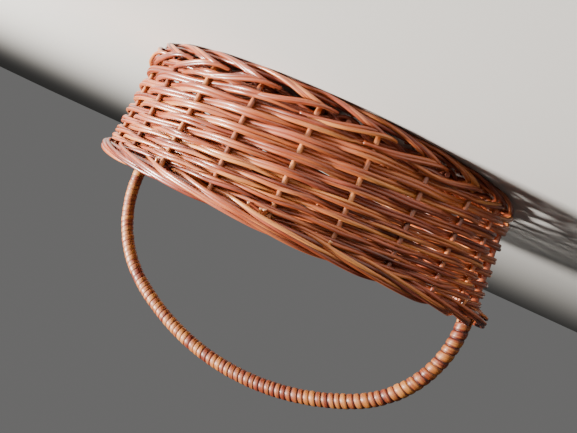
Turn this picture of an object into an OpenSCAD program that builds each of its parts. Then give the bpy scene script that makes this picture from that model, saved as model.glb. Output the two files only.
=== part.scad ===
// Round wicker basket with a fixed, cane-wrapped bow handle.
// Origin: middle of the underside, on the surface it stands on. +Z is up, the handle lies in the XZ plane.
// Upright stakes ring the wall, rows of weaving pass in front of one stake and behind the next,
// and the bow's two legs take the place of two of the stakes.

/* [Wall] */
// Radius of the ring of stakes where the wall starts
wall_radius = 147.5; // [100:0.5:200]
// Height of the top of the rim border
rim_height = 90; // [60:1:140]
// Outward lean of the wall, in degrees
wall_lean = 3.5; // [0:0.5:8]
// Diameter of a stake
stake_d = 3.4; // [2.5:0.1:4.5]
// Thickness of the weaving rods
weaver_t = 2.4; // [1.6:0.1:3]
// How much closer the rows are beaten together towards the rim
row_bunching = 0.08; // [0:0.01:0.12]
// Radius of the bend where a stake turns up from the base
upset_radius = 6; // [5:0.5:8]

/* [Rim border] */
// Diameter of the rolled rods of the border
rim_rod_d = 6.4; // [5:0.1:8]
// Sideways step between rods of the border
rim_rod_step = 5; // [4:0.1:5.5]
// Depth of a stake's socket in the border
socket_depth = 6.8; // [4:0.1:8]

/* [Foot border] */
// Height of the foot ring
foot_ring_h = 5.5; // [4:0.1:8]
// Width of the foot ring's flat underside
foot_flat_w = 5.2; // [3:0.1:8]
// Diameter of the foot border's rising rods
foot_rod_d = 2.8; // [2:0.1:3.5]
// Half angle of each pair of rising rods at the ring, in degrees
foot_spread = 5; // [3:0.5:6.5]

/* [Base] */
// Diameter of a base stick
stick_d = 3.6; // [2.5:0.1:5]
// Thickness of one weave of the base, over or under the sticks
base_weave_t = 5.6; // [4.5:0.1:8]
// Half length of the straight middle of a base stick
slath_half = 13; // [12:0.5:25]
// Length over which a stick settles from its layer into the base's mid-plane
settle_length = 8; // [6:0.5:20]
// Length of a stake's tail in the base
tail_length = 12; // [8:0.5:15]

/* [Handle] */
// Overall height, to the top of the handle
handle_height = 214; // [170:1:280]
// Diameter of the bow's rod under its wrapping
bow_d = 8.5; // [6:0.1:12]
// Diameter of the bow leg's pointed end
leg_tip_d = 4; // [2.5:0.1:6]
// Thickness of the flat cane wrapping
wrap_t = 1.2; // [0.8:0.1:2]
// Height of the straight part of each leg above the border
leg_stub = 3; // [2:0.5:20]
// Radius of the handle's shoulders, as a share of the arch's rise
shoulder_share = 0.82; // [0.5:0.01:0.88]
// Diameter of the peg that holds each leg in the border
peg_d = 2.4; // [1.5:0.1:3]

/* [Hidden] */
positions = 24;                 // stakes and legs round the wall
rows = 14;                      // rows of weaving up the wall
base_sticks = 6;                // in two crossing layers
base_rings = 8;                 // rounds of base weaving
gap = 0.3;                      // clearance between pieces that touch on the real object
sector_gap = 0.5;               // between the arcs of a round of base weaving, in degrees
knuckle_extra = 0.06;           // a bent rod is this much thicker where its bend starts and ends
step_deg = 360 / positions;
steps_per_gap = 6;              // corners of a row's outline from one stake to the next
$fn = 64;

rim_rod_r = rim_rod_d / 2;
rim_nest = 0.64;                // share of a rod's diameter by which the upper rods lie above the lower
rim_stagger = 0.24;             // share of a step by which the border's rods lie in or out of line
rim_rise = rim_rod_d * rim_nest;
rim_bottom = rim_height - rim_rise - rim_rod_d;
foot_r = foot_ring_h / 2;
stick_r = stick_d / 2;
layer_z = stick_r + gap / 2;    // a stick crosses the middle this far above or below the base's
weave_lap = base_weave_t / 4;   // how far a weave reaches past the base's mid-plane
base_z = foot_ring_h + gap + base_weave_t - weave_lap;
bend_end_r = wall_radius;
bend_start_r = bend_end_r - upset_radius * cos(wall_lean);
bend_end_z = base_z + upset_radius * (1 - sin(wall_lean));
base_out_r = bend_start_r + gap;
base_in_r = slath_half + settle_length + stick_r;
ring_pitch = (base_out_r - base_in_r) / base_rings;
socket_top = rim_bottom + socket_depth;
row_bottom = bend_end_z - gap;
spring_z = rim_height + leg_stub;
leg_tip_z = bend_end_z;
wrap_r = bow_d / 2 + wrap_t;
crown_z = handle_height - wrap_r;

// Radius of the wall's middle at a height
function wall_r(z) = bend_end_r + (z - bend_end_z) * tan(wall_lean);
// Diameter of a bow leg at a height
function leg_d(z) =
    leg_tip_d + (bow_d - leg_tip_d) * min(1, max(0, (z - leg_tip_z) / (rim_bottom - leg_tip_z)));
// Whether a bow leg stands at position k, and not a stake
function is_leg(k) = k % (positions / 2) == 0;
// The positions that hold a stake
stake_at = [for (k = [0 : positions - 1]) if (!is_leg(k)) k];
// Height of the line between row j and the row below it
function row_edge(j) =
    row_bottom + (rim_bottom - row_bottom) * (j / rows + row_bunching * sin(180 * j / rows));
// Height of row j's middle, and of the row itself
function row_z(j) = (row_edge(j) + row_edge(j + 1)) / 2;
function row_h(j) = row_edge(j + 1) - row_edge(j) - gap;
// How far row j's middle lies outside or inside the wall's middle, at position k
function row_shift(j, k) =
    let (upright_d = is_leg(k % positions) ? leg_d(row_z(j) + row_h(j) / 2) : stake_d)
    ((k + j) % 2 == 0 ? 1 : -1) * (upright_d / 2 + gap + weaver_t / 2);
// Row j's outline, offset sideways: it eases from one side of an upright to the other side of the next
function row_outline(j, side) =
    [for (k = [0 : positions - 1], i = [0 : steps_per_gap - 1])
        let (u = i / steps_per_gap,
             ease = (1 - cos(180 * u)) / 2,
             shift = row_shift(j, k) * (1 - ease) + row_shift(j, k + 1) * ease,
             r = wall_r(row_z(j)) + shift + side,
             a = (k + u) * step_deg)
        [r * cos(a), r * sin(a)]];

// Arch of the handle: two shoulder arcs and a crown arc, each tangent to the next
leg_x = wall_r(spring_z);
shoulder_r = (crown_z - spring_z) * shoulder_share;
shoulder_x = leg_x - shoulder_r * cos(wall_lean);
shoulder_z = spring_z + shoulder_r * sin(wall_lean);
crown_rise = crown_z - shoulder_z;
crown_r = (pow(shoulder_x, 2) + pow(crown_rise, 2) - pow(shoulder_r, 2)) / (2 * (crown_rise - shoulder_r));
crown_mid_z = crown_z - crown_r;
join_a = atan2(shoulder_z - crown_mid_z, shoulder_x);

// Node names that count from 1, with a leading 0 where there are ten or more
function numbered(name, n) =
    [for (i = [1 : n]) str(name, n > 9 && i < 10 ? "0" : "", i)];
stake_names = numbered("stake_", len(stake_at));
row_names = numbered("weaver_row_", rows);
stick_names = numbered("base_stick_", base_sticks);
ring_names = numbered("base_ring_", base_rings);

// ---- stakes -------------------------------------------------------------------------------------

// Straight upright in the XZ plane that follows the wall's lean, between two heights
module leaning(d_low, d_high, z_low, z_high) {
    translate([wall_r(z_low), 0, z_low])
        rotate([0, wall_lean, 0])
            cylinder(d1 = d_low, d2 = d_high, h = (z_high - z_low) / cos(wall_lean));
}

// The part of a stake that lies in the base, beside the base sticks
module stake_tail(d, from_r) {
    translate([from_r, 0, base_z])
        rotate([0, 90, 0])
            cylinder(d = d, h = bend_start_r - from_r);
}

// Knuckle where a straight rod meets a bend
module knuckle(d, x, z) {
    translate([x, 0, z])
        sphere(d = d + knuckle_extra);
}

// A stake: tail in the base, bend, and upright that ends in a socket of the rim border
module stake(k) {
    color("#8a4a33")
    rotate([0, 0, k * step_deg]) {
        stake_tail(stake_d, bend_start_r - tail_length);
        knuckle(stake_d, bend_start_r, base_z);
        knuckle(stake_d, bend_end_r, bend_end_z);
        translate([bend_start_r, 0, base_z + upset_radius])
            rotate([90, 0, 0])
                rotate([0, 0, -90])
                    rotate_extrude(angle = 90 - wall_lean)
                        translate([upset_radius, 0])
                            circle(d = stake_d);
        leaning(stake_d, stake_d, bend_end_z, socket_top - gap);
    }
}

// ---- weaving ------------------------------------------------------------------------------------

// One row of weaving, a ribbon as high as its pair of rods
module weaver_row(j) {
    color(j % 2 == 0 ? "#a5573a" : "#93492f")
    translate([0, 0, row_z(j) - row_h(j) / 2])
        linear_extrude(row_h(j))
            difference() {
                polygon(row_outline(j, weaver_t / 2));
                polygon(row_outline(j, -weaver_t / 2));
            }
}

// ---- rim border ---------------------------------------------------------------------------------

// The border's rods seen end on: three below, three above and further out
module rim_section() {
    for (i = [0 : 2]) {
        translate([(i - rim_stagger) * rim_rod_step, rim_bottom + rim_rod_r + i * i * gap / 2])
            circle(d = rim_rod_d);
        translate([(i * (1 - rim_stagger / 4) + rim_stagger) * rim_rod_step, rim_height - rim_rod_r])
            circle(d = rim_rod_d);
    }
}

// Rim border: a rolled ring with a blind socket for every stake and a bore for each bow leg
module rim_border() {
    color("#8f3f2c")
    difference() {
        rotate_extrude()
            translate([wall_r(socket_top), 0])
                rim_section();
        for (k = stake_at)
            rotate([0, 0, k * step_deg])
                leaning(stake_d + 2 * gap, stake_d + 2 * gap, rim_bottom - rim_rod_r, socket_top);
        for (side = [0, 180])
            rotate([0, 0, side]) {
                leaning(bow_d + 2 * gap, bow_d + 2 * gap, rim_bottom - rim_rod_r, rim_height + rim_rod_r);
                peg_bar(peg_d + gap, gap);
            }
    }
}

// ---- foot border --------------------------------------------------------------------------------

foot_rod_r = foot_rod_d / 2;
foot_ring_r = wall_radius - foot_r - foot_flat_w / 2 - foot_rod_r;
foot_close = 0.25;                   // a pair's tops keep this share of the angle between its feet
foot_low = [foot_ring_r + foot_flat_w / 2, foot_r];
foot_high = [bend_end_r + stake_d / 2 + gap + foot_rod_r, row_bottom - foot_rod_r - gap / 2];

// A rising rod of the foot border, from the ring to the outside of the stakes
module foot_rod(a_low, a_high) {
    p = [foot_low.x * cos(a_low), foot_low.x * sin(a_low), foot_low.y];
    q = [foot_high.x * cos(a_high), foot_high.x * sin(a_high), foot_high.y];
    v = q - p;
    translate(p)
        rotate([0, acos(v.z / norm(v)), atan2(v.y, v.x)])
            cylinder(d = foot_rod_d, h = norm(v));
}

// Foot border: flat-bottomed ring, with a pair of rising rods to every stake
module foot_border() {
    color("#9a5136") {
        rotate_extrude()
            translate([foot_ring_r, 0]) {
                for (side = [-1, 1])
                    translate([side * foot_flat_w / 2, foot_r])
                        circle(r = foot_r);
                translate([-foot_flat_w / 2, 0])
                    square([foot_flat_w, foot_ring_h]);
            }
        for (k = [0 : positions - 1], side = [-1, 1])
            foot_rod(k * step_deg + side * foot_spread, k * step_deg + side * foot_spread * foot_close);
    }
}

// ---- base ---------------------------------------------------------------------------------------

stick_step = stick_d + gap;          // between the sticks of a layer at the middle
stick_end_r = base_out_r - 2 * gap;
slath_turn = step_deg / 2;           // the sticks' ends lie midway between stakes
splay = 360 / (2 * base_sticks);

// Rod with round ends, from point p to point q
module round_rod(d, p, q) {
    v = q - p;
    translate(p) {
        sphere(d = d + knuckle_extra);
        rotate([0, acos(v.z / norm(v)), atan2(v.y, v.x)])
            cylinder(d = d, h = norm(v));
    }
}

// Half of a base stick: straight over the middle, then splayed and settled, then out to the base's edge
module half_stick(lane, side_z, d, grow) {
    out = [cos(lane * splay), sin(lane * splay), 0];
    turn = [slath_half, lane * stick_step, side_z];
    level = (slath_half + settle_length) * out;
    translate([0, lane * stick_step, side_z])
        rotate([0, 90, 0])
            cylinder(d = d, h = slath_half);
    round_rod(d, turn, level);
    round_rod(d, level, (stick_end_r + grow) * out);
}

// Base stick i: the first three lie under the other three, which cross them
module base_stick(i, d = stick_d, grow = 0) {
    upper = i >= base_sticks / 2;
    lane = i % (base_sticks / 2) - 1;
    color("#9c6142")
    translate([0, 0, base_z])
        rotate([0, 0, slath_turn + (upper ? 90 : 0)])
            for (turned = [0, 180])
                rotate([0, 0, turned])
                    half_stick(lane * (turned == 0 ? 1 : -1), upper ? layer_z : -layer_z, d, grow);
}

// Arc of the base's weaving, between two radii and two heights from the base's mid-plane
module weave_arc(r_in, r_out, angle, z_low, z_high) {
    translate([0, 0, base_z + z_low])
        rotate_extrude(angle = angle)
            translate([r_in, 0])
                square([r_out - r_in, z_high - z_low]);
}

// Base ring n: a core with arcs of weaving that pass over one stick and under the next
module base_ring(n) {
    r_in = base_in_r + n * ring_pitch;
    r_out = r_in + ring_pitch - gap;
    weave_rise = base_weave_t - weave_lap;
    color(n % 2 == 0 ? "#a5603f" : "#965236")
    difference() {
        union() {
            weave_arc(r_in + gap, r_out - gap, 360, -weave_lap, weave_lap);
            for (s = [0 : 2 * base_sticks - 1])
                rotate([0, 0, slath_turn + (s - 0.5) * splay + sector_gap / 2])
                    if ((s + n) % 2 == 0)
                        weave_arc(r_in, r_out, splay - sector_gap, 0, weave_rise);
                    else
                        weave_arc(r_in, r_out, splay - sector_gap, -weave_rise, 0);
        }
        for (i = [0 : base_sticks - 1])
            base_stick(i, stick_d + 2 * gap, ring_pitch);
        if (n == base_rings - 1)
            for (k = stake_at)
                rotate([0, 0, k * step_deg])
                    stake_tail(stake_d + 2 * gap, bend_start_r - tail_length - gap);
    }
}

// ---- handle -------------------------------------------------------------------------------------

// Arc of rod in the XZ plane, about a centre, from one angle to another
module rod_arc(d, centre_x, centre_z, r, from_a, to_a) {
    translate([centre_x, 0, centre_z])
        rotate([90, 0, 0])
            rotate([0, 0, from_a])
                rotate_extrude(angle = to_a - from_a, $fn = 128)
                    translate([r, 0])
                        circle(d = d);
}

// The whole arch as a round rod
module arch(d) {
    rod_arc(d, shoulder_x, shoulder_z, shoulder_r, -wall_lean, join_a);
    rod_arc(d, 0, crown_mid_z, crown_r, join_a, 180 - join_a);
    rod_arc(d, -shoulder_x, shoulder_z, shoulder_r, 180 - join_a, 180 + wall_lean);
    for (side = [-1, 1])
        knuckle(d, side * crown_r * cos(join_a), crown_mid_z + crown_r * sin(join_a));
}

peg_bite = 1.5;                      // the peg's end reaches this far into the border
peg_z = (rim_bottom + rim_height) / 2;
peg_in_r = wall_r(peg_z) - bow_d / 2 - gap;
peg_out_r = wall_r(peg_z) + bow_d / 2 + peg_bite;

// Straight bar through a leg, from the inside of the border
module peg_bar(d, extra) {
    translate([peg_in_r - extra, 0, peg_z])
        rotate([0, 90, 0])
            cylinder(d = d, h = peg_out_r - peg_in_r + 2 * extra);
}

// Bow of the handle: one bent rod, its two legs pointed and pushed down inside the wall
module handle_bow() {
    color("#a0633f")
    difference() {
        union() {
            for (side = [0, 180])
                rotate([0, 0, side]) {
                    leaning(leg_tip_d, bow_d, leg_tip_z, rim_bottom);
                    knuckle(bow_d, wall_r(rim_bottom), rim_bottom);
                    leaning(bow_d, bow_d, rim_bottom, spring_z);
                    knuckle(bow_d, leg_x, spring_z);
                }
            arch(bow_d);
        }
        for (side = [0, 180])
            rotate([0, 0, side])
                peg_bar(peg_d + gap, gap);
    }
}

// Flat cane wrapped round the arch, as one sleeve
module handle_wrap() {
    color("#c07a45")
    difference() {
        arch(2 * wrap_r);
        arch(bow_d + gap);
        for (side = [0, 180])
            rotate([0, 0, side]) {
                knuckle(bow_d + gap, leg_x, spring_z);
                leaning(bow_d + gap, bow_d + gap, rim_height, spring_z);
            }
    }
}

// Bound end of the cane, round a leg's foot just above the border
module wrap_end(side) {
    color("#c98d58")
    rotate([0, 0, side])
        difference() {
            leaning(2 * wrap_r, 2 * wrap_r, rim_height + gap + wrap_r * sin(wall_lean),
                    spring_z - gap);
            leaning(bow_d + gap, bow_d + gap, rim_height - 1, spring_z + 1);
        }
}

// Peg that holds a leg in the border
module bow_peg(side) {
    color("#b58a5c")
    rotate([0, 0, side])
        peg_bar(peg_d, 0);
}

// ---- assembly -----------------------------------------------------------------------------------

for (i = [0 : len(stake_names) - 1])
    stake(stake_at[i]);
for (j = [0 : rows - 1])
    weaver_row(j);
for (i = [0 : base_sticks - 1])
    base_stick(i);
for (n = [0 : base_rings - 1])
    base_ring(n);
rim_border();
foot_border();
handle_bow();
handle_wrap();
wrap_end(0);  // wrap_end_right
wrap_end(180);  // wrap_end_left
bow_peg(0);  // bow_peg_right
bow_peg(180);  // bow_peg_left
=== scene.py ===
"""Round wicker basket with a fixed, cane-wrapped bow handle, woven rod by rod.

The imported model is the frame: every size and place below is read from it or worked out from a few
rod thicknesses. Lengths are in metres, angles in radians unless a name ends in _deg.
"""

import logging
import math
from dataclasses import dataclass, field
from enum import Enum
from typing import Sequence, Union

import bpy
import numpy as np
from mathutils import Matrix, Vector


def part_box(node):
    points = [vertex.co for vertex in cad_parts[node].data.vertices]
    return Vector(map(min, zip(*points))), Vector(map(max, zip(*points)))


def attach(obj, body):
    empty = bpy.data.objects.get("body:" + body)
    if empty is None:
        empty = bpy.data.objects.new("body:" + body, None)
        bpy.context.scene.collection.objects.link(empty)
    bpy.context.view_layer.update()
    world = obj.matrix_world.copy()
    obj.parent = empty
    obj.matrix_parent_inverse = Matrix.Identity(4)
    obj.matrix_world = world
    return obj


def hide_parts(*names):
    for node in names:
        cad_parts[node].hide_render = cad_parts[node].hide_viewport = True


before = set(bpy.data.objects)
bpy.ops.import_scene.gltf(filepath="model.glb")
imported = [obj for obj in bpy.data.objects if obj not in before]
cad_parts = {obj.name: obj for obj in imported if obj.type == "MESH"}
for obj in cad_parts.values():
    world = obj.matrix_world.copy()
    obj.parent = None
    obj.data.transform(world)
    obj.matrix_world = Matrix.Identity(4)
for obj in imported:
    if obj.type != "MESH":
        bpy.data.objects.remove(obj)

LOG = logging.getLogger("basket")
MM = 0.001
TURN = 2 * math.pi
IMAGE_WIDTH = 577


# ---- shader language ----------------------------------------------------------------------------


class Signal:
    """A value or colour socket of a material, on which Python's operators add Math nodes."""

    def __init__(self, recipe: "Recipe", socket: bpy.types.NodeSocket) -> None:
        """Wraps one output socket.

        Args:
            recipe: the material that the socket belongs to.
            socket: the output socket.
        """
        self.recipe = recipe
        self.socket = socket

    def _math(self, operation: str, first: "Feed", second: "Feed") -> "Signal":
        """Adds a Math node between two feeds."""
        return self.recipe.node("ShaderNodeMath", {"operation": operation}, {0: first, 1: second})

    def __add__(self, other: "Feed") -> "Signal":
        """This value plus another."""
        return self._math("ADD", self, other)

    def __radd__(self, other: "Feed") -> "Signal":
        """Another value plus this one."""
        return self._math("ADD", other, self)

    def __sub__(self, other: "Feed") -> "Signal":
        """This value less another."""
        return self._math("SUBTRACT", self, other)

    def __rsub__(self, other: "Feed") -> "Signal":
        """Another value less this one."""
        return self._math("SUBTRACT", other, self)

    def __mul__(self, other: "Feed") -> "Signal":
        """This value times another."""
        return self._math("MULTIPLY", self, other)

    def __rmul__(self, other: "Feed") -> "Signal":
        """Another value times this one."""
        return self._math("MULTIPLY", other, self)


Feed = Union[Signal, float, int, Sequence[float]]


class Recipe:
    """A material under construction: its nodes are added by one method and linked by their feeds."""

    def __init__(self, owner: Union[bpy.types.Material, bpy.types.World]) -> None:
        """Empties an owner's nodes.

        Args:
            owner: the material or world.
        """
        self.owner = owner
        owner.use_nodes = True
        self.tree = owner.node_tree
        self.tree.nodes.clear()

    def node(self, kind: str, settings: dict, feeds: dict, output: Union[int, str] = 0) -> Signal:
        """Adds a node.

        Args:
            kind: the node's type.
            settings: its properties, set first; "stops" fills a colour ramp.
            feeds: socket name or number to a signal, number or colour.
            output: the output to return.

        Returns:
            The chosen output as a signal.
        """
        made = self.tree.nodes.new(kind)
        for key, value in settings.items():
            if key == "stops":
                self._fill_ramp(made.color_ramp, value)
            else:
                setattr(made, key, value)
        for key, value in feeds.items():
            if isinstance(value, Signal):
                self.tree.links.new(value.socket, made.inputs[key])
            else:
                made.inputs[key].default_value = value
        return Signal(self, made.outputs[output])

    @staticmethod
    def _fill_ramp(ramp: bpy.types.ColorRamp, stops: Sequence[tuple]) -> None:
        """Sets a colour ramp's stops from (position, colour) pairs."""
        while len(ramp.elements) < len(stops):
            ramp.elements.new(1.0)
        for element, (position, colour) in zip(ramp.elements, stops):
            element.position = position
            element.color = (*colour, 1.0)

    def mix(self, factor: Feed, first: Feed, second: Feed) -> Signal:
        """Mixes two colours.

        Args:
            factor: share of the second colour.
            first: first colour.
            second: second colour.

        Returns:
            The mixed colour.
        """
        feeds = {0: factor, 6: self._rgba(first), 7: self._rgba(second)}
        return self.node("ShaderNodeMix", {"data_type": "RGBA"}, feeds, 2)

    @staticmethod
    def _rgba(colour: Feed) -> Feed:
        """A colour of three numbers with its alpha, and any signal as it is."""
        return colour if isinstance(colour, Signal) or len(colour) == 4 else (*colour, 1.0)

    def ramp(self, factor: Feed, stops: Sequence[tuple]) -> Signal:
        """A colour ramp over a factor."""
        return self.node("ShaderNodeValToRGB", {"stops": stops}, {0: factor})

    def fit(self, value: Feed, low: float, high: float, new_low: float, new_high: float) -> Signal:
        """Maps a value from one range to another, and clamps it."""
        feeds = {"Value": value, "From Min": low, "From Max": high, "To Min": new_low, "To Max": new_high}
        return self.node("ShaderNodeMapRange", {"clamp": True}, feeds)

    def attribute(self, name: str, output: str) -> Signal:
        """Reads one of the piece's own attributes."""
        return self.node("ShaderNodeAttribute", {"attribute_name": name}, {}, output)

    def stretch(self, vector: Signal, scale: Sequence[float]) -> Signal:
        """Scales a pattern's coordinates."""
        return self.node("ShaderNodeMapping", {}, {"Vector": vector, "Scale": tuple(scale)})

    def noise(self, vector: Signal, scale: float, detail: float = 3.0, rough: float = 0.55) -> Signal:
        """Fractal noise between about 0.3 and 0.7."""
        feeds = {"Vector": vector, "Scale": scale, "Detail": detail, "Roughness": rough}
        return self.node("ShaderNodeTexNoise", {"noise_dimensions": "3D"}, feeds, "Fac")

    def bump(self, height: Signal, strength: float, distance: float) -> Signal:
        """Turns a height into a normal."""
        feeds = {"Height": height, "Strength": strength, "Distance": distance}
        return self.node("ShaderNodeBump", {}, feeds, "Normal")

    def finish(self, feeds: dict) -> bpy.types.Material:
        """Closes the material with a Principled surface.

        Args:
            feeds: the surface's sockets.

        Returns:
            The finished material.
        """
        self.close("ShaderNodeOutputMaterial", self.node("ShaderNodeBsdfPrincipled", {}, feeds, "BSDF"))
        return self.owner

    def close(self, kind: str, surface: Signal) -> None:
        """Adds the output node and links the surface to it."""
        output = self.tree.nodes.new(kind)
        self.tree.links.new(surface.socket, output.inputs["Surface"])


# ---- finishes -----------------------------------------------------------------------------------

WINE = (0.060, 0.009, 0.005)
RUSSET = (0.165, 0.028, 0.011)
TERRACOTTA = (0.29, 0.060, 0.020)
COPPER = (0.43, 0.118, 0.034)
AMBER = (0.38, 0.145, 0.030)
HONEY = (0.60, 0.235, 0.062)
STRAW = (0.72, 0.38, 0.14)
CUT_WOOD = (0.66, 0.40, 0.25)
FLECK = (0.055, 0.018, 0.012)


@dataclass(frozen=True)
class RodFinish:
    """Stained and varnished rod: its tones from shade to light, and how glossy and fibrous it is."""

    name: str
    tones: tuple
    blush: tuple = (0.34, 0.085, 0.062)
    gloss: float = 0.34
    coat: float = 0.55
    fibre: float = 0.5
    fibre_depth: float = 0.00022

    def material(self) -> bpy.types.Material:
        """Builds the material.

        The rod's own "grain" attribute holds (across, across, along), so that streaks run along
        every rod and meet round it. "tint" gives each rod its own tone, on the cane winding with
        painted shade in the grooves between turns, and "fade" is 1 at a freshly cut end.

        Returns:
            The material.
        """
        made = Recipe(bpy.data.materials.new(self.name))
        grain = made.attribute("grain", "Vector")
        tint = made.attribute("tint", "Fac")
        fade = made.attribute("fade", "Fac")
        streaks = made.noise(made.stretch(grain, (1.0, 1.0, 0.035)), 900.0, 4.0, 0.6)
        bark = made.noise(made.stretch(grain, (1.0, 1.0, 0.16)), 210.0, 3.0, 0.55)
        patches = made.noise(made.stretch(grain, (1.0, 1.0, 0.5)), 52.0, 2.0, 0.5)
        tone = tint + (streaks - 0.5) * 0.85 + (bark - 0.5) * 0.75 + (patches - 0.5) * 0.7
        stops = list(zip(np.linspace(0, 1, len(self.tones)).tolist(), self.tones))
        colour = made.ramp(tone, stops)
        colour = made.mix(made.fit(patches, 0.52, 0.68, 0.0, 0.55), colour, self.blush)
        flecks = made.noise(made.stretch(grain, (1.0, 1.0, 0.3)), 640.0, 2.0, 0.7)
        colour = made.mix(made.fit(flecks, 0.66, 0.74, 0.0, 0.55), colour, FLECK)
        colour = made.mix(fade, colour, CUT_WOOD)
        rough = made.fit(bark, 0.3, 0.7, self.gloss - 0.09, self.gloss + 0.13) + fade * 0.3
        height = streaks * self.fibre + bark * 0.6 + flecks * 0.2
        return made.finish({
            "Base Color": colour,
            "Roughness": rough,
            "Coat Weight": made.fit(patches, 0.35, 0.65, self.coat, self.coat * 0.6),
            "Coat Roughness": 0.16,
            "Specular IOR Level": 0.5,
            "Normal": made.bump(height, 0.75, self.fibre_depth),
        })


@dataclass(frozen=True)
class PlainFinish:
    """The floor's even, matt paint."""

    name: str
    colour: tuple
    mottling: tuple = (0.55, 0.54, 0.52)
    roughness: float = 0.85

    def material(self) -> bpy.types.Material:
        """Builds the material, with a trace of mottling from the object's own coordinates."""
        made = Recipe(bpy.data.materials.new(self.name))
        place = made.node("ShaderNodeTexCoord", {}, {}, "Object")
        mottle = made.noise(place, 7.0)
        colour = made.mix(made.fit(mottle, 0.3, 0.7, 0.0, 0.12), self.colour, self.mottling)
        return made.finish({"Base Color": colour, "Roughness": self.roughness})


class Finish(Enum):
    """The finishes of the basket, each by the record's material slot."""

    STAKE = RodFinish("stake_willow", (WINE, RUSSET, COPPER, HONEY), gloss=0.36)
    WEAVER = RodFinish("weaver_willow", (WINE, RUSSET, TERRACOTTA, COPPER, HONEY))
    BORDER = RodFinish("border_willow", (WINE, RUSSET, TERRACOTTA, COPPER, HONEY), gloss=0.36)
    BASE = RodFinish("base_willow", (WINE, RUSSET, TERRACOTTA, COPPER), gloss=0.45, coat=0.3)
    BOW = RodFinish("bow_rod", (RUSSET, TERRACOTTA, COPPER), gloss=0.4)
    CANE = RodFinish("split_cane", (WINE, RUSSET, AMBER, HONEY), blush=(0.34, 0.125, 0.022),
                     gloss=0.46, coat=0.12, fibre=0.7)
    PEG = RodFinish("peg_wood", (COPPER, HONEY, STRAW), gloss=0.5, coat=0.2)

    @property
    def slot(self) -> str:
        """The record's material slot."""
        return self.name.lower()

    def dress(self, piece: bpy.types.Object) -> None:
        """Gives a piece this finish.

        Args:
            piece: the piece or CAD node.
        """
        if self not in _DRESSED:
            _DRESSED[self] = self.value.material()
        piece.data.materials.clear()
        piece.data.materials.append(_DRESSED[self])


_DRESSED: dict = {}


# ---- rods ---------------------------------------------------------------------------------------


def unit(vectors: np.ndarray) -> np.ndarray:
    """Vectors scaled to length 1."""
    return vectors / np.linalg.norm(vectors, axis=-1, keepdims=True)


def ripple(angle: np.ndarray, rng: np.random.Generator, waves: Sequence[int]) -> np.ndarray:
    """A smooth wander of about -1 to 1: a sum of sines of whole wave numbers, with random phases.

    Args:
        angle: where it is read, in radians; it closes after a full turn.
        rng: source of the phases.
        waves: the wave numbers.

    Returns:
        The wander at each angle.
    """
    phases = rng.uniform(0, TURN, len(waves))
    return np.sin(np.multiply.outer(angle, np.array(waves)) + phases).sum(-1) / math.sqrt(len(waves))


def through(keys: np.ndarray, count: int) -> np.ndarray:
    """A smooth line through key points: cubic Hermite pieces with Catmull-Rom tangents.

    Args:
        keys: one row per key point.
        count: how many points to return.

    Returns:
        Points spaced evenly in the key's number.
    """
    keys = np.asarray(keys, float)
    slopes = np.gradient(keys, axis=0)
    at = np.linspace(0, len(keys) - 1, count)
    low = np.minimum(at.astype(int), len(keys) - 2)
    u = (at - low)[:, None]
    return ((2 * u**3 - 3 * u**2 + 1) * keys[low] + (u**3 - 2 * u**2 + u) * slopes[low]
            + (3 * u**2 - 2 * u**3) * keys[low + 1] + (u**3 - u**2) * slopes[low + 1])


def polar(angle: np.ndarray, radius: np.ndarray, height: np.ndarray) -> np.ndarray:
    """Points (radius cos angle, radius sin angle, height)."""
    angle, radius, height = np.broadcast_arrays(angle, radius, height)
    return np.stack([radius * np.cos(angle), radius * np.sin(angle), height], axis=-1)


def set_attribute(mesh: bpy.types.Mesh, label: str, values: np.ndarray) -> None:
    """Stores one number, or a row of three, at each vertex."""
    kind, key = ("FLOAT_VECTOR", "vector") if values.ndim > 1 else ("FLOAT", "value")
    data = mesh.attributes.new(label, kind, "POINT").data
    data.foreach_set(key, values.astype(np.float32).ravel())


def ring_angles() -> np.ndarray:
    """Angles round a plain ring of rod."""
    return np.linspace(0, TURN, 240, endpoint=False)


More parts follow.
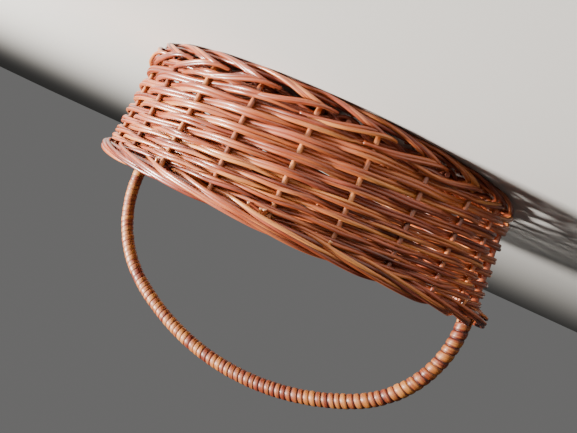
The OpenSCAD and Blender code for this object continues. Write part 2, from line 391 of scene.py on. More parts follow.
class Bundle:
    """Rods gathered into one mesh, with the attributes that the rod finishes read."""

    def __init__(self) -> None:
        """Starts with no rods."""
        self.points: list = []
        self.quads: list = []
        self.caps: list = []
        self.grain: list = []
        self.tint: list = []
        self.fade: list = []
        self.count = 0

    def add(self, points: np.ndarray, quads: np.ndarray, grain: np.ndarray, tint: np.ndarray,
            fade: np.ndarray, caps: Sequence[np.ndarray] = ()) -> None:
        """Adds one surface.

        Args:
            points: its vertices.
            quads: its faces, as vertex numbers.
            grain: (across, across, along) at each vertex.
            tint: tone at each vertex, 0 to 1.
            fade: freshness of cut at each vertex, 0 to 1.
            caps: end faces, each a ring of vertex numbers.
        """
        self.points.append(points)
        self.quads.append(quads + self.count)
        self.caps.extend(cap + self.count for cap in caps)
        self.grain.append(grain)
        self.tint.append(tint)
        self.fade.append(fade)
        self.count += len(points)

    def rod(self, path: np.ndarray, radius: np.ndarray, out: np.ndarray, tint: np.ndarray,
            closed: bool = False, sides: int = 10, flat: float = 1.0, fresh: bool = False) -> None:
        """Adds a rod: a circle of the given radius carried along a path.

        A vertex is path + radius (cos a * u + flat sin a * v), where u is the outward direction
        made square to the path, and v is square to both.

        Args:
            path: centre line.
            radius: radius at each point of it.
            out: a direction at each point, never along the path.
            tint: tone at each point.
            closed: whether the path joins up with itself.
            sides: corners of the section.
            flat: height of the section over its width.
            fresh: whether the ends show pale cut wood.
        """
        steps = len(path)
        along = np.roll(path, -1, 0) - np.roll(path, 1, 0) if closed else np.gradient(path, axis=0)
        along = unit(along)
        v = unit(np.cross(along, out))
        u = np.cross(v, along)
        a = np.arange(sides) * TURN / sides
        radius = np.broadcast_to(radius, steps)
        tint = np.broadcast_to(tint, steps)
        ring_way = np.cos(a)[:, None] * u[:, None] + flat * np.sin(a)[:, None] * v[:, None]
        points = path[:, None] + radius[:, None, None] * ring_way
        length = np.concatenate([[0], np.cumsum(np.linalg.norm(np.diff(path, axis=0), axis=1))])
        mean = float(radius.mean())
        start = float(tint[0]) * 7.0 + path[0, 2] * 31.0  # sets each rod elsewhere in the pattern
        grain = np.stack(np.broadcast_arrays(
            mean * np.cos(a)[None], mean * np.sin(a)[None] + start, length[:, None] + start), -1)
        i = np.arange(steps if closed else steps - 1)[:, None]
        j = np.arange(sides)[None]
        after, beside = (i + 1) % steps, (j + 1) % sides
        quads = np.stack(np.broadcast_arrays(
            i * sides + j, i * sides + beside, after * sides + beside, after * sides + j), -1)
        fade = np.zeros(steps)
        caps = []
        if not closed:
            ring = np.arange(sides)
            caps = [ring[::-1], ring + (steps - 1) * sides]
            if fresh:
                fade[[0, -1]] = 1.0
        self.add(points.reshape(-1, 3), quads.reshape(-1, 4), grain.reshape(-1, 3),
                 np.repeat(tint, sides), np.repeat(fade, sides), caps)

    def piece(self, name: str, finish: Finish, replaces: Sequence[str] = ()) -> None:
        """Makes the mesh an object of the basket, riding on its one body.

        Args:
            name: the piece's name.
            finish: its finish.
            replaces: CAD nodes that it stands for.
        """
        mesh = bpy.data.meshes.new(name)
        faces = np.concatenate(self.quads).tolist() + [cap.tolist() for cap in self.caps]
        mesh.from_pydata(np.concatenate(self.points).tolist(), [], faces)
        mesh.polygons.foreach_set("use_smooth", [len(face) == 4 for face in faces])
        for label, values in (("grain", self.grain), ("tint", self.tint), ("fade", self.fade)):
            set_attribute(mesh, label, np.concatenate(values))
        mesh.update()
        made = bpy.data.objects.new(name, mesh)
        bpy.context.collection.objects.link(made)
        finish.dress(made)
        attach(made, "root")
        if replaces:
            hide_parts(*replaces)
        LOG.info("%s: %d faces", name, len(faces))


# ---- the wall -----------------------------------------------------------------------------------


def middle(node: str, axis: int) -> float:
    """Middle of a CAD node's box along an axis."""
    low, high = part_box(node)
    return (low[axis] + high[axis]) / 2


@dataclass(frozen=True)
class Wall:
    """The ring of uprights and the rows woven through them."""

    positions: int = 24
    stake_r: float = 1.7 * MM
    seat: float = 0.3 * MM
    row_depth: float = 2.4 * MM
    upper_row: int = 12
    leg_tip_r: float = 2.0 * MM
    leg_r: float = 4.25 * MM
    rows: tuple = field(default_factory=lambda: tuple(
        sorted(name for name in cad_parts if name.startswith("weaver_row_"))))

    def row_height(self, j: int) -> float:
        """Height of row j's middle."""
        return middle(self.rows[j], 2)

    def radius(self, height: Union[float, np.ndarray]) -> Union[float, np.ndarray]:
        """Radius of the wall's middle at a height, on the line through a low row and a high one.

        Both rows pass outside the upright on the Y axis, so their boxes reach past the middle by
        the upright's radius, the seat and the row's own depth.
        """
        reach = self.stake_r + self.seat + self.row_depth
        low_r, high_r = (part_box(self.rows[j])[1][1] - reach for j in (0, self.upper_row))
        low_z, high_z = self.row_height(0), self.row_height(self.upper_row)
        return low_r + (high_r - low_r) * (height - low_z) / (high_z - low_z)

    @property
    def border_low(self) -> float:
        """Height of the rim border's underside."""
        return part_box("rim_border")[0][2]

    @property
    def top(self) -> float:
        """Height of the rim border's top."""
        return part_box("rim_border")[1][2]

    def angles(self) -> np.ndarray:
        """The angles of the uprights."""
        return np.arange(self.positions) * TURN / self.positions

    def is_leg(self, k: Union[int, np.ndarray]) -> Union[bool, np.ndarray]:
        """Whether a leg of the bow stands at position k."""
        return k % (self.positions // 2) == 0

    def leg_radius(self, height: Union[float, np.ndarray]) -> Union[float, np.ndarray]:
        """Radius of a bow's leg at a height: it thickens evenly from its tip to the border."""
        low = self.row_height(0)
        share = np.clip((height - low) / (self.border_low - low), 0, 1)
        return self.leg_tip_r + (self.leg_r - self.leg_tip_r) * share


def weave(angles: np.ndarray, shifts: np.ndarray, steps: int) -> tuple:
    """A rod's way round a ring of uprights, easing from one side of an upright to that of the next.

    The shift between two uprights is theirs, mixed by (1 - cos(pi u)) / 2.

    Args:
        angles: the uprights' angles, rising round one turn.
        shifts: how far the rod lies from the ring's middle at each upright.
        steps: points from one upright to the next.

    Returns:
        The angle and the shift at each point.
    """
    u = np.arange(steps) / steps
    ease = (1 - np.cos(np.pi * u)) / 2
    ahead = np.append(angles[1:], angles[0] + TURN)
    angle = angles[:, None] + (ahead - angles)[:, None] * u
    shift = shifts[:, None] * (1 - ease) + np.roll(shifts, -1)[:, None] * ease
    return angle.ravel(), shift.ravel()


@dataclass
class Weaving:
    """The wall's weaving: pairs of rods that each climb from the foot to the border in one turn.

    As many pairs climb as the wall has rows, so that each stands for one row.
    """

    wall: Wall
    thin: float = 1.24 * MM
    thick: float = 1.38 * MM
    least_room: float = 3.2 * MM
    most_room: float = 6.0 * MM
    nestle: float = 0.93
    overrun: float = 0.6
    steps: int = 14
    sides: int = 10
    seed: int = 5

    def build(self) -> None:
        """Weaves every pair."""
        for i in range(len(self.wall.rows)):
            self.pair(i)

    def height(self, row: np.ndarray) -> np.ndarray:
        """Height at a row number, which may lie between rows: row j's middle is at j + 1/2."""
        count = len(self.wall.rows)
        known = np.concatenate([[0], np.arange(count) + 0.5, [count]])
        low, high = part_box(self.wall.rows[0])[0][2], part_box(self.wall.rows[-1])[1][2]
        return np.interp(row, known, [low, *map(self.wall.row_height, range(count)), high])

    def pair(self, i: int) -> None:
        """Weaves one pair: in front of one upright, behind the next, and a little higher each time.

        It starts and ends behind an upright. Its shift from the wall's middle is that of the two
        uprights beside it, mixed by (1 - cos(pi u)) / 2, where u is the share of the way between
        them. The two rods lie one above the other at an upright, and lean over between uprights
        as far as their room asks for.

        Args:
            i: the pair's number, from 0.
        """
        wall, rng = self.wall, np.random.default_rng(self.seed + i)
        positions, count = wall.positions, len(wall.rows)
        start = positions * i / count
        reached = range(math.floor(start) - 1, math.floor(start + positions + self.overrun) + 1)
        behind = [k for k in reached if (k + i) % 2]
        first, last = behind[0], behind[-1]
        place = np.linspace(first, last, (last - first) * self.steps + 1)
        k = np.minimum(np.floor(place).astype(int), last - 1)
        u = place - k
        angle = place * TURN / positions
        row = (place - start) * count / positions
        height = self.height(row)
        room = np.gradient(self.height(np.clip(row, 0.5, count - 0.5)), place) * positions / count
        room = np.clip(room, self.least_room, self.most_room)
        rod_r = np.clip(room / 4, self.thin, self.thick)
        shift = 0.0
        for near, share in ((k, (1 + np.cos(np.pi * u)) / 2), (k + 1, (1 - np.cos(np.pi * u)) / 2)):
            upright = np.where(wall.is_leg(near), wall.leg_radius(height), wall.stake_r)
            shift = shift + share * np.where((near + i) % 2 == 0, 1.0, -1.0) * (upright + rod_r)
        tip = np.arccos(np.clip((room / 2 - rod_r) / rod_r, 0.25, 1.0))
        lean = tip * np.sin(np.pi * u) + 0.3 * ripple(angle, rng, (5, 8, 13))
        sag = (0.3 * ripple(angle, rng, (2, 3, 5)) + 0.28 * ripple(angle, rng, (9, 15, 22))) * MM
        taper = (place - first) / (last - first)
        bundle = Bundle()
        for rod in (-1, 1):
            thick = rod_r * (rng.uniform(1.06, 1.22) + 0.06 * ripple(angle, rng, (4, 7, 11)) - 0.2 * taper)
            wander = ripple(angle, rng, (5, 9, 14)) * 0.16 * MM
            apart = rod * self.nestle * rod_r
            r = wall.radius(height) + shift + apart * np.sin(lean)
            z = height + apart * np.cos(lean) + sag + wander
            tone = rng.uniform(0.3, 0.8) + 0.16 * ripple(angle, rng, (2, 5, 9))
            bundle.rod(polar(angle, r, z), thick, polar(angle, 1.0, 0.0), tone, sides=self.sides)
        bundle.piece(f"climbing_pair_{i + 1:02d}", Finish.WEAVER, [wall.rows[i]])


@dataclass
class Stakes:
    """The uprights, each bent up from its tail in the base."""

    wall: Wall
    tail: float = 12 * MM
    bend: float = 6 * MM
    into_border: float = 4 * MM
    below_sticks: float = 0.1 * MM
    seed: int = 23

    def build(self) -> None:
        """Makes a stake at every position that holds no leg."""
        held = [k for k in range(self.wall.positions) if not self.wall.is_leg(k)]
        for number, k in enumerate(held, 1):
            self.stake(number, k)

    def stake(self, number: int, k: int) -> None:
        """Makes one stake.

        Args:
            number: its number in the frame.
            k: its position round the wall.
        """
        wall, rng = self.wall, np.random.default_rng(self.seed + k)
        base = middle("base_stick_2", 2) - self.below_sticks
        inner = wall.radius(wall.row_height(0)) - self.bend
        turn = np.linspace(0, np.pi / 2, 8)
        heights = np.linspace(base + self.bend, wall.border_low + self.into_border, 60)
        r = np.concatenate([np.linspace(inner - self.tail, inner, 5)[:-1],
                            inner + self.bend * np.sin(turn), wall.radius(heights[1:])])
        z = np.concatenate([np.full(4, base), base + self.bend * (1 - np.cos(turn)), heights[1:]])
        share = np.linspace(0, 1, len(r))
        sway = (ripple(share * 3, rng, (1, 2)) * 0.5 + rng.normal(0, 0.9) * share) * MM
        sway = sway * (z > base + self.bend)
        angle = wall.angles()[k] + sway / r
        path = polar(angle, r, z)
        out = polar(angle, -np.ones_like(r), np.zeros_like(r)) + np.array([0, 0, 1.0])
        thick = wall.stake_r * (1 + 0.04 * ripple(share * 9, rng, (1, 3)))
        bundle = Bundle()
        bundle.rod(path, thick, out, rng.uniform(0.45, 0.85) + 0.08 * ripple(share * 6, rng, (1, 2)))
        bundle.piece(f"stake_rod_{number:02d}", Finish.STAKE, [f"stake_{number:02d}"])


# ---- the borders --------------------------------------------------------------------------------


@dataclass
class RimBorder:
    """Border: behind each upright a sheaf rises inside, crests before the next and runs down outside."""

    wall: Wall
    sheaf: int = 2
    rod_r: float = 1.55 * MM
    steps: int = 84
    core_r: float = 1.7 * MM
    bulge: float = 1.45
    bulge_deg: float = 27.0
    bulge_lift: float = 1.4
    leg_reach: float = 6.0 * MM
    seed: int = 61

    def section(self) -> np.ndarray:
        """The way of a sheaf: (degrees past its upright, outwards from the wall, up from the top)."""
        return np.array([(-12.0, -3.4, -9.0), (-7.0, -3.9, -6.2), (-2.0, -3.0, -3.0), (3.0, -0.4, -1.6),
                         (8.0, 2.6, -1.7), (14.0, 4.9, -2.7), (21.0, 5.8, -4.5), (28.0, 5.6, -6.6),
                         (33.0, 3.4, -8.6), (37.0, 0.2, -10.0), (41.0, -2.6, -11.0)])

    def core(self) -> tuple:
        """Rings that fill the border: (outwards from the wall, up from the top)."""
        return (0.2, -8.2), (3.0, -8.0), (3.4, -5.2), (0.8, -4.6), (-1.6, -5.6)

    def lip(self, angle: np.ndarray) -> np.ndarray:
        """How far the border rolls outwards: 1, and more round the left foot of the bow."""
        off = np.degrees(angle % TURN - np.pi)
        return 1.0 + self.bulge * np.exp(-((off / self.bulge_deg) ** 2))

    def clear_of_legs(self, angle: np.ndarray, r: np.ndarray, z: np.ndarray, rod_r: float) -> np.ndarray:
        """Opens the rods round a leg: the distance x from its middle becomes sqrt(x^2 + clearance^2)."""
        x = r - self.wall.radius(z)
        near = np.exp(-((np.sin(angle) * r) / self.leg_reach) ** 2)
        need = near * (self.wall.leg_r + rod_r)
        return self.wall.radius(z) + np.where(x < 0, -1, 1) * np.sqrt(x**2 + need**2)

    def build(self) -> None:
        """Plaits the border round its core."""
        wall, rng = self.wall, np.random.default_rng(self.seed)
        rim_r = wall.radius(wall.border_low)
        bundle = Bundle()
        line = through(self.section(), self.steps)
        t = np.linspace(0, 1, self.steps)
        face = np.sin(np.pi * t)
        for k in range(wall.positions):
            drift, rise, reach = rng.normal(0, 1.0), rng.normal(0, 0.35), rng.normal(0, 0.5)
            for n in range(self.sheaf):
                thick = self.rod_r * (rng.uniform(0.8, 1.12) - 0.16 * t + 0.05 * ripple(t * 5, rng, (1, 2)))
                angle = wall.angles()[k] + np.radians(line[:, 0] + drift + n * 1.4)
                wave = 0.3 * ripple(t * 6, rng, (1, 2))
                out = line[:, 1] + (reach + wave + 0.7 * n) * face
                up = line[:, 2] + (rise + wave) * face - 2.3 * n * face**0.5
                up = up + self.bulge_lift * (self.lip(angle) - 1) * face
                r = rim_r + np.where(out > 0, out * self.lip(angle), out) * MM
                r = self.clear_of_legs(angle, r, wall.top + up * MM, self.rod_r)
                tone = rng.uniform(0.3, 0.85) + 0.16 * ripple(t * 4, rng, (1, 2))
                bundle.rod(polar(angle, r, wall.top + up * MM), thick, polar(angle, 0.3, 1.0), tone, sides=9)
        for across, up in self.core():
            turn = ring_angles()
            z = np.full_like(turn, wall.top + up * MM) + ripple(turn, rng, (3, 5)) * 0.2 * MM
            r = rim_r + across * MM * self.lip(turn)
            r = self.clear_of_legs(turn, r, z, 2 * MM)
            bundle.rod(polar(turn, r, z), self.core_r, polar(turn, 1.0, 0.0), rng.uniform(0.1, 0.4),
                       closed=True, sides=8)
        bundle.piece("plaited_border", Finish.BORDER, ["rim_border"])


@dataclass
class FootBorder:
    """Openwork foot: pairs slant down from the wall past each upright, and threes run on under it."""

    wall: Wall
    rod_r: float = 1.4 * MM
    steps: int = 44
    seed: int = 83

    def slant(self) -> np.ndarray:
        """The way of a slanting rod: (degrees past its upright, outwards from the wall, up)."""
        step = 360 / self.wall.positions
        return np.array([(step + 1.0, 0.6, 17.6), (step * 0.8, 2.9, 17.0), (step * 0.5, 4.4, 15.2),
                         (step * 0.2, 4.6, 12.2), (0.0, 4.1, 10.2), (-2.6, 1.8, 8.8), (-5.0, -2.6, 8.4)])

    def sole(self) -> np.ndarray:
        """The way of a rod of the sole: (degrees past its upright, outwards from the wall, up)."""
        return np.array([(-3.4, -3.0, 8.6), (-1.2, 1.2, 8.4), (0.8, 3.0, 7.4), (4.5, 2.8, 5.0),
                         (9.0, 1.2, 2.9), (15.0, -1.6, 1.6), (22.0, -4.4, 1.5), (29.0, -7.6, 2.4),
                         (33.0, -9.2, 4.6)])

    def core(self) -> tuple:
        """Rings that fill the foot: (outwards from the wall, up)."""
        return (-4.2, 4.2), (-6.8, 3.2), (-2.2, 4.0)

    def build(self) -> None:
        """Builds the foot."""
        wall, rng = self.wall, np.random.default_rng(self.seed)
        wall_r = wall.radius(wall.row_height(0))
        bundle = Bundle()
        for k in range(wall.positions):
            for keys, number in ((self.slant(), 2), (self.sole(), 3)):
                for n in range(number):
                    self.stroke(bundle, rng, k, keys, n, wall_r)
        for across, up in self.core():
            turn = ring_angles()
            path = polar(turn, wall_r + across * MM, up * MM)
            bundle.rod(path, self.rod_r, polar(turn, 1.0, 0.0), rng.uniform(0.2, 0.5), closed=True, sides=8)
        bundle.piece("openwork_foot", Finish.BORDER, ["foot_border"])

    def stroke(self, bundle: Bundle, rng: np.random.Generator, k: int, keys: np.ndarray, n: int,
               wall_r: float) -> None:
        """Adds one rod.

        Args:
            bundle: the mesh that it goes into.
            rng: source of its irregularity.
            k: its upright's position.
            keys: (degrees past the upright, outwards, up) along it, in millimetres.
            n: its number among the rods that go together, each below the last and behind it.
            wall_r: radius of the wall's middle at the foot.
        """
        line = through(keys, self.steps)
        t = np.linspace(0, 1, self.steps)
        angle = self.wall.angles()[k] + np.radians(line[:, 0] + n * 2.1 + rng.normal(0, 0.5))
        thick = self.rod_r * (rng.normal(1.0, 0.06) - 0.16 * t)
        r = wall_r + (line[:, 1] - n * 0.4 + rng.normal(0, 0.15)) * MM
        z = np.maximum(line[:, 2] * MM + rng.normal(0, 0.2) * MM - n * 0.5 * MM * np.sin(np.pi * t), thick)
        tone = rng.uniform(0.3, 0.9) + 0.1 * ripple(t * 4, rng, (1, 2))
        bundle.rod(polar(angle, r, z), thick, polar(angle, 0.6, 1.0), tone, sides=8)


# ---- the base -----------------------------------------------------------------------------------


@dataclass
class Base:
    """Woven base: rounds of thin rod go over one stick and under the next.

    The innermost rounds go over and under the four groups of sticks, and the outermost also cross
    the tails of the stakes.
    """

    wall: Wall
    sticks: int = 6
    rings: int = 8
    rod_r: float = 1.25 * MM
    stick_r: float = 1.8 * MM
    slath_r: float = 15.5 * MM
    splay_r: float = 24.0 * MM
    tail: float = 19 * MM
    seed: int = 101

    def build(self) -> None:
        """Weaves the base round its sticks."""
        rng = np.random.default_rng(self.seed)
        tails = self.wall.radius(self.wall.row_height(0)) - self.tail
        half = TURN / self.wall.positions / 2
        sticks = half + np.arange(2 * self.sticks) * TURN / (2 * self.sticks)
        edge = np.sort(np.concatenate([sticks, self.wall.angles()]))
        level = middle("base_ring_1", 2)
        groups = np.arange(4) * TURN / 4 + half
        for ring in range(1, self.rings + 1):
            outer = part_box(f"base_ring_{ring}")[1][0]
            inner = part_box(f"base_ring_{ring - 1}")[1][0] if ring > 1 else self.slath_r
            rounds = round((outer - inner) / (2 * self.rod_r))
            bundle = Bundle()
            for n in range(rounds):
                r = inner + (n + 0.5) * (outer - inner) / rounds
                if r > tails:
                    crossed, steps = edge, 6
                elif r < self.splay_r:
                    crossed, steps = groups, 48
                else:
                    crossed, steps = sticks, 16
                side = np.where((np.arange(len(crossed)) + n + ring) % 2 == 0, 1.0, -1.0)
                angle, shift = weave(crossed, side * (self.stick_r + self.rod_r), steps)
                z = level + shift + ripple(angle, rng, (3, 7)) * 0.12 * MM
                tone = rng.uniform(0.25, 0.85) + 0.08 * ripple(angle, rng, (1, 2))
                thick = self.rod_r * (1 + 0.05 * ripple(angle, rng, (3, 5, 8)))
                bundle.rod(polar(angle, r, z), thick, np.array([[0, 0, 1.0]]), tone, closed=True, sides=8)
            bundle.piece(f"base_round_{ring}", Finish.BASE, [f"base_ring_{ring}"])


# ---- the handle ---------------------------------------------------------------------------------


@dataclass
class Handle:
    """The bow and the flat cane wound round it."""

    wall: Wall
    lean_deg: float = 3.5
    shoulder_share: float = 0.82
    stub: float = 3 * MM
    bow_r: float = 4.25 * MM
    bedding: float = 0.55 * MM
    pitch: float = 4.6 * MM
    widening: float = 1.9 * MM
    steps: int = 1500
    sides: int = 34
    strips: int = 5
    strip_r: float = 2.1 * MM
    strip_steps: int = 12
    seed: int = 131

    def arch(self, count: int) -> tuple:
        """Centre line of the arch: two shoulder arcs and a crown arc, each tangent to the next.

        Args:
            count: how many points.

        Returns:
            Points from the right foot to the left, and the length up to each.
        """
        low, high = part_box("handle_wrap")
        top = high[2] - (high[1] - low[1]) / 2
        spring = self.wall.top + self.stub
        lean = math.radians(self.lean_deg)
        foot = self.wall.radius(spring)
        shoulder = (top - spring) * self.shoulder_share
        x, z = foot - shoulder * math.cos(lean), spring + shoulder * math.sin(lean)
        rise = top - z
        crown = (x**2 + rise**2 - shoulder**2) / (2 * (rise - shoulder))
        middle_z = top - crown
        join = math.atan2(z - middle_z, x)
        side_length, crown_length = shoulder * (join + lean), crown * (math.pi - 2 * join)
        s = np.linspace(0, 2 * side_length + crown_length, count)
        first, last = s < side_length, s > side_length + crown_length
        a = np.where(first, -lean + s / shoulder, join + (s - side_length) / crown)
        a = np.where(last, math.pi + lean - (s[-1] - s) / shoulder, a)
        radius = np.where(first | last, shoulder, crown)
        cx = np.where(first, x, np.where(last, -x, 0.0))
        cz = np.where(first | last, z, middle_z)
        return np.stack([cx + radius * np.cos(a), np.zeros(count), cz + radius * np.sin(a)], -1), s

    def build(self) -> None:
        """Winds the cane and tucks its ends."""
        self.winding()
        for side, name in ((0, "right"), (1, "left")):
            self.tails(side, name)

    def winding(self) -> None:
        """Winds one flat cane round the bow.

        A vertex lies at the bow's radius plus the cane's crown, which depends on how far across
        the cane it is. The turn's number grows by one round the bow and by one every pitch along
        it, so that the edges run in a screw. From the right foot to the left the turns grow wider
        and fuller.
        """
        rng = np.random.default_rng(self.seed)
        steps, sides = self.steps, self.sides
        path, s = self.arch(steps)
        share = s / s[-1]
        pitch = self.pitch + self.widening * np.clip((share - 0.62) / 0.38, 0, 1)
        turns = np.concatenate([[0], np.cumsum(np.diff(s) / pitch[1:])])
        turns = turns + 0.07 * ripple(share * TURN, rng, (9, 17, 31))
        a = np.arange(sides) * TURN / sides
        number = turns[:, None] - a[None] / TURN
        whole = np.floor(number).astype(int)
        q = number - whole
        jitter = rng.normal(0, 1, int(whole.max() - whole.min()) + 2)[whole - whole.min()]
        full = np.clip(0.2 + 0.8 * (share - 0.12) / 0.6, 0.12, 1.0)[:, None]
        crown = 1 - np.abs(2 * q - 1) ** (4.5 - 1.5 * full)
        swell = (0.2 + 0.6 * full) * crown + 0.22 * q * full + 0.07 * jitter
        reach = self.bow_r + self.bedding + swell * MM
        along = unit(np.gradient(path, axis=0))
        v = np.array([0, 1.0, 0])
        u = np.cross(v, along)
        ring_way = np.cos(a)[:, None] * u[:, None] + np.sin(a)[:, None] * v
        points = path[:, None] + reach[..., None] * ring_way
        i, j = np.arange(steps - 1)[:, None], np.arange(sides)[None]
        beside = (j + 1) % sides
        quads = np.stack(np.broadcast_arrays(
            i * sides + j, i * sides + beside, (i + 1) * sides + beside, (i + 1) * sides + j), -1)
        unrolled = (whole + a / TURN) * TURN * self.bow_r
        grain = np.stack(np.broadcast_arrays(q * 5 * MM, 0 * q + 0.3, unrolled), -1)
        # The tint darkens towards the grooves between turns, more where the turns are fuller: painted shade
        # in the creases.
        painted_groove_shade = np.clip(1.5 * (1 - crown), 0, 1)
        tint = 0.45 + 0.06 * jitter - 0.5 * full * painted_groove_shade**2
        ring = np.arange(sides)
        bundle = Bundle()
        bundle.add(points.reshape(-1, 3), quads.reshape(-1, 4), grain.reshape(-1, 3), tint.ravel(),
                   np.zeros(steps * sides), [ring[::-1], ring + (steps - 1) * sides])
        bundle.piece("cane_winding", Finish.CANE, ["handle_wrap"])

    def tails(self, side: int, name: str) -> None:
        """Tucks strips of the cane down into the border round one foot.

        Args:
            side: 0 for the right foot, 1 for the left.
            name: the foot's name.
        """
        wall, rng = self.wall, np.random.default_rng(self.seed + 1 + side)
        lean = math.radians(self.lean_deg)
        bundle = Bundle()
        steps = self.strip_steps
        rise = np.linspace(wall.top - 5 * MM, wall.top + self.stub + 3.6 * MM, steps)
        flare = self.bow_r + (0.5 + 0.5 * np.cos(np.linspace(0, np.pi, steps))) * 1.3 * MM
        leg = np.stack([wall.radius(rise), np.zeros(steps), rise], -1)
        for n in range(self.strips):
            about = TURN * (n + 0.1) / self.strips + rng.normal(0, 0.1)
            across = polar(np.full(steps, about), 1.0, 0.0)
            path = leg + across * (flare + 0.35 * MM)[:, None]
            path[:, 2] -= across[:, 0] * math.tan(lean) * flare
            if side:
                path[:, :2] *= -1
                across = across * np.array([-1, -1, 1])
            across_way = np.cross(across, np.array([0, 0, 1.0]))
            bundle.rod(path, self.strip_r, across_way, rng.uniform(0.7, 1.0), flat=0.28, fresh=True)
        bundle.piece(f"cane_tails_{name}", Finish.CANE, [f"wrap_end_{name}"])


# ---- carried-over nodes and cut ends ------------------------------------------------------------


@dataclass
class Trimmings:
    """Short cut ends of rods that show under the border beside the uprights."""

    wall: Wall
    past_deg: tuple = (0.8, 2.3, 4.2)
    steps: int = 6
    seed: int = 173

    def build(self) -> None:
        """Sets up to three cut ends beside each upright."""
        wall, rng = self.wall, np.random.default_rng(self.seed)
        bundle = Bundle()
        for k in range(wall.positions):
            for past_deg in self.past_deg[: int(rng.choice((0, 0, 1, 2, 3)))]:
                past = math.radians(past_deg + rng.normal(0, 0.25))
                height = wall.border_low + rng.normal(1.2, 0.6) * MM
                self.stub(bundle, rng, wall.angles()[k] + past, height)
        bundle.piece("cut_ends", Finish.STAKE)

    def stub(self, bundle: Bundle, rng: np.random.Generator, angle: float, height: float) -> None:
        """Adds one end: it comes out from under the border and points down and outwards.

        Args:
            bundle: the mesh that it goes into.
            rng: source of its length and slant.
            angle: its place round the wall.
            height: height of its upper end.
        """
        t = np.linspace(0, 1, self.steps)
        r = self.wall.radius(height) + (3.4 + rng.uniform(0.6, 1.6) * t) * MM
        z = height - rng.uniform(2.6, 4.8) * MM * t
        path = polar(angle + rng.normal(0.004, 0.005) * t, r, z)
        bundle.rod(path, rng.uniform(0.85, 1.2) * MM, polar(np.full(self.steps, angle), 1.0, 0.3),
                   rng.uniform(0.6, 0.95), fresh=True)


def grain_for_node(node: bpy.types.Object, tint: float) -> None:
    """Gives a carried-over CAD node the attributes that the rod finishes read.

    The grain is the vertex's own place, with the node's longest extent as the way along the wood.

    Args:
        node: the node's object.
        tint: its tone.
    """
    mesh = node.data
    place = np.empty(len(mesh.vertices) * 3, np.float32)
    mesh.vertices.foreach_get("co", place)
    place = place.reshape(-1, 3)
    order = np.argsort(np.ptp(place, axis=0))
    set_attribute(mesh, "grain", place[:, order])
    set_attribute(mesh, "tint", np.full(len(place), tint))
    set_attribute(mesh, "fade", np.zeros(len(place)))


def dress_nodes() -> None:
    """Finishes the CAD nodes whose own shapes stay: the base sticks, the bow and its pegs."""
    rng = np.random.default_rng(7)
    kept = {"base_stick": Finish.BASE, "handle_bow": Finish.BOW, "bow_peg": Finish.PEG}
    for name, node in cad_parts.items():
        for start, finish in kept.items():
            if name.startswith(start):
                grain_for_node(node, float(rng.uniform(0.4, 0.8)))
                finish.dress(node)


# ---- studio -------------------------------------------------------------------------------------


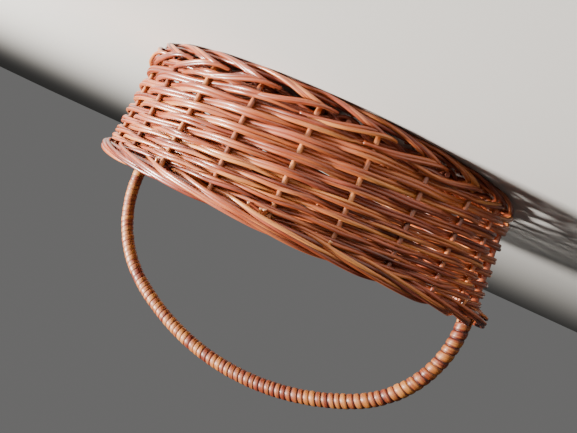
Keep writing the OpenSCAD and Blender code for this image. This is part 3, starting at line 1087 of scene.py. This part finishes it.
@dataclass(frozen=True)
class Studio:
    """Floor, soft lights and camera."""

    azimuth_deg: float = -20.6
    distance: float = 0.525
    eye: float = 0.070
    roll_deg: float = 204.9
    focal_px: float = 652.0
    backdrop: float = 0.16
    ambience: float = 0.05
    shift_px: tuple = (10.1, 4.7)
    sensor: float = 36.0
    floor_side: float = 12.0
    lit_height: float = 0.07

    def build(self) -> None:
        """Sets up the studio."""
        self.floor()
        self.lights()
        self.camera()

    def directions(self) -> tuple:
        """Unit vectors to the camera and to its right, both level."""
        a = math.radians(self.azimuth_deg)
        return Vector((math.sin(a), -math.cos(a), 0)), Vector((math.cos(a), math.sin(a), 0))

    def floor(self) -> None:
        """Lays a plain pale floor."""
        mesh = bpy.data.meshes.new("floor")
        half = self.floor_side / 2
        corners = [(-half, -half, 0), (half, -half, 0), (half, half, 0), (-half, half, 0)]
        mesh.from_pydata(corners, [], [(0, 1, 2, 3)])
        floor = bpy.data.objects.new("floor", mesh)
        bpy.context.collection.objects.link(floor)
        mesh.materials.append(PlainFinish("pale_floor", (0.62, 0.61, 0.59)).material())

    def lamp(self, name: str, place: Vector, size: float, power: float, colour: tuple) -> None:
        """Hangs a square soft light that faces the basket.

        Args:
            name: its name.
            place: where it hangs.
            size: its side.
            power: its power in watts.
            colour: its colour.
        """
        light = bpy.data.lights.new(name, "AREA")
        light.shape = "SQUARE"
        light.size = size
        light.energy = power
        light.color = colour
        lamp = bpy.data.objects.new(name, light)
        bpy.context.collection.objects.link(lamp)
        aim = Vector((0, 0, self.lit_height)) - place
        lamp.matrix_world = Matrix.Translation(place) @ aim.to_track_quat("-Z", "Y").to_matrix().to_4x4()

    def lights(self) -> None:
        """Sets a warm key light on the right, a dim fill, and a backdrop brighter than its own light."""
        near, right = self.directions()
        up = Vector((0, 0, 1))
        self.lamp("key", right * 1.12 + near * 0.36 + up * 0.5, 0.3, 90.0, (1.0, 0.955, 0.89))
        self.lamp("fill", right * -0.5 + near * 1.2 + up * 0.5, 0.9, 0.9, (1.0, 0.88, 0.76))
        bpy.context.scene.world = bpy.data.worlds.new("studio")
        air = Recipe(bpy.context.scene.world)
        seen = air.node("ShaderNodeLightPath", {}, {}, "Is Camera Ray")
        strength = seen * (self.backdrop - self.ambience) + self.ambience
        air.close("ShaderNodeOutputWorld", air.node(
            "ShaderNodeBackground", {}, {"Color": (0.92, 0.91, 0.9, 1.0), "Strength": strength}))

    def camera(self) -> None:
        """Aims the camera level at the basket's axis, rolled until the basket hangs upside down."""
        near, right = self.directions()
        roll = math.radians(self.roll_deg)
        up = Vector((0, 0, 1))
        across = right * math.cos(roll) + up * math.sin(roll)
        above = -right * math.sin(roll) + up * math.cos(roll)
        turn = Matrix((across, above, near)).transposed()
        data = bpy.data.cameras.new("camera")
        data.sensor_width = self.sensor
        data.lens = self.sensor * self.focal_px / IMAGE_WIDTH
        data.shift_x = -self.shift_px[0] / IMAGE_WIDTH
        data.shift_y = -self.shift_px[1] / IMAGE_WIDTH
        data.clip_start = 0.01
        camera = bpy.data.objects.new("camera", data)
        bpy.context.collection.objects.link(camera)
        place = near * self.distance + up * self.eye
        camera.matrix_world = Matrix.Translation(place) @ turn.to_4x4()
        bpy.context.scene.camera = camera


# ---- assembly -----------------------------------------------------------------------------------


def main() -> None:
    """Builds the basket in order and reports its pieces."""
    logging.basicConfig(level=logging.INFO, format="%(name)s %(message)s")
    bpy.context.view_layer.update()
    Studio().build()
    wall = Wall()
    dress_nodes()
    Weaving(wall).build()
    Stakes(wall).build()
    RimBorder(wall).build()
    FootBorder(wall).build()
    Base(wall).build()
    Handle(wall).build()
    Trimmings(wall).build()


if __name__ == "__main__":
    main()
